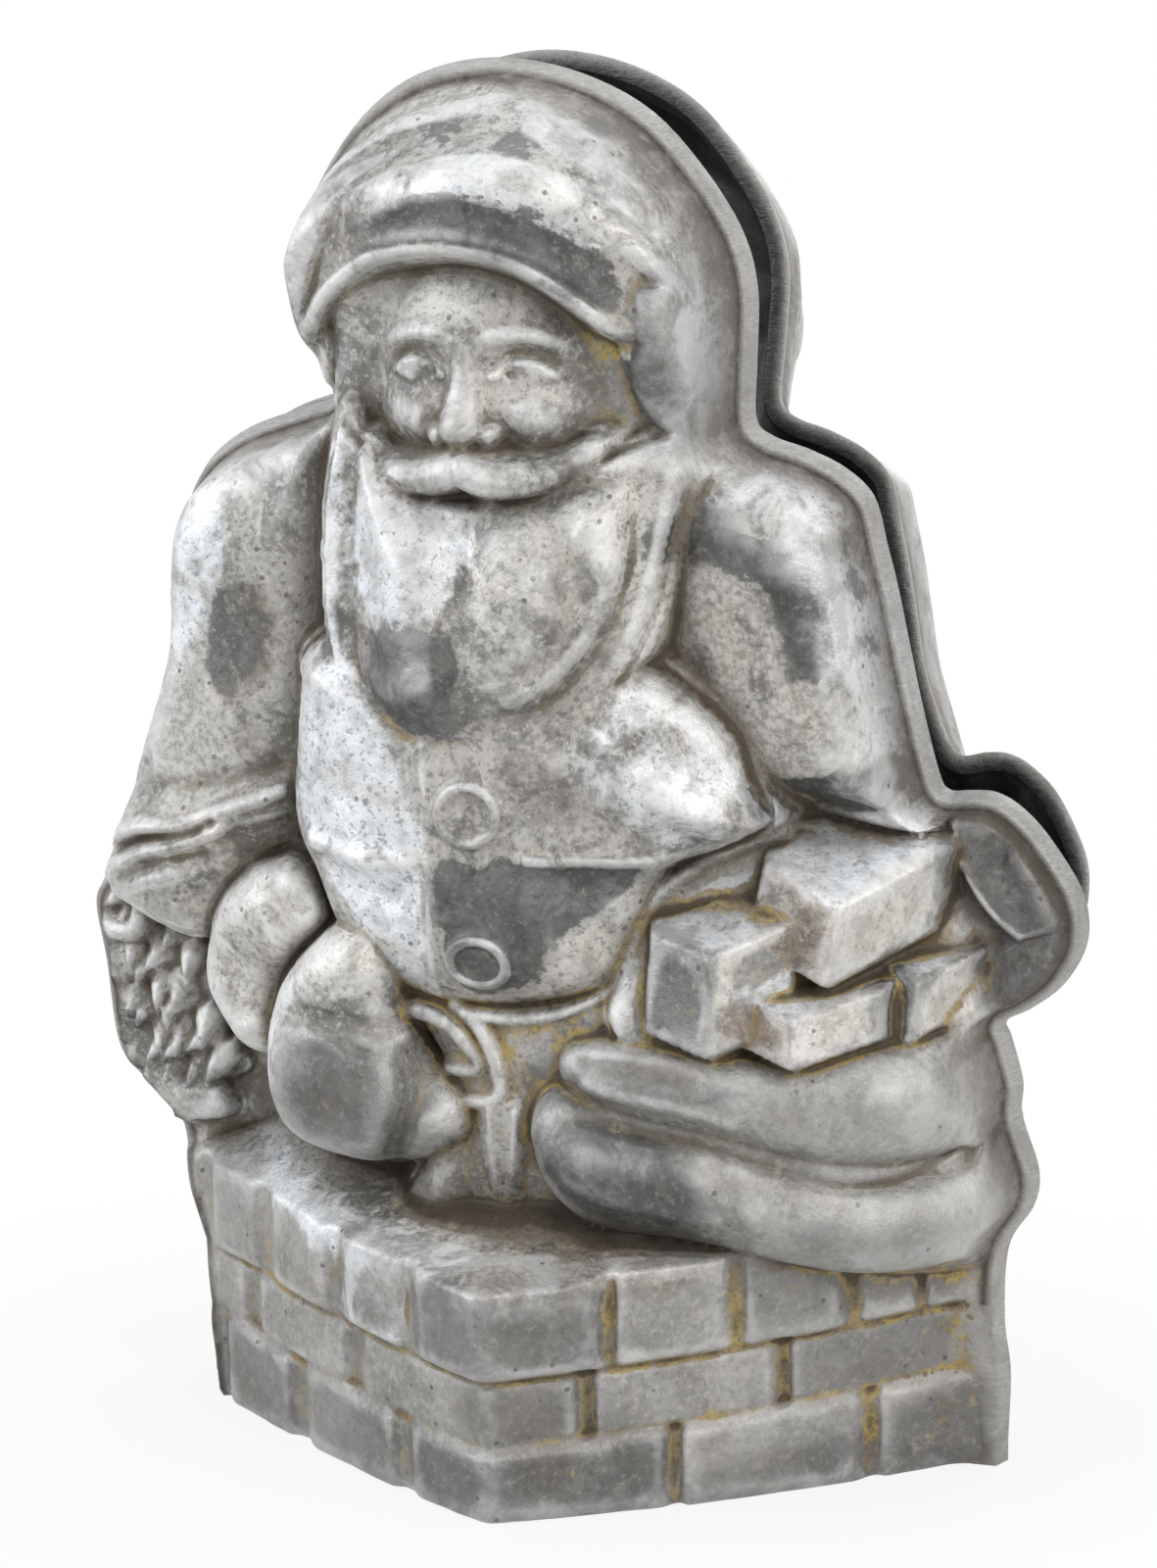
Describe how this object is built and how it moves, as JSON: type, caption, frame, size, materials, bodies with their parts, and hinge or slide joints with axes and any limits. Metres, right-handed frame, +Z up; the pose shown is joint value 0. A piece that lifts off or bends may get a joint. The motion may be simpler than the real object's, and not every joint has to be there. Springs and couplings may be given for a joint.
{
  "type": "cake mould",
  "caption": "Two-piece stand-up cake mould of cast aluminium, shaped as a bearded winter gift-bringer with a sack in a brick chimney.",
  "frame": {"origin": "on the shelf, under the middle of the two halves as they stand ajar", "axes": "+Z up, -Y towards the front of the figure, +X towards the side lobe and the sack"},
  "size_m": [0.2327, 0.1662, 0.2989],
  "materials": {
    "front_casting": "as cast, worn and stained by baking",
    "back_casting": "as cast, dull, with a dark file-marked parting face"
  },
  "bodies": {
    "front": {"front_half": "front_casting"},
    "back": {"back_half": "back_casting"}
  },
  "joints": [
    {"name": "back_pull", "type": "slide", "parent": "front", "child": "back", "axis": [0, 1, 0], "range_m": [0, 0.12]}
  ]
}
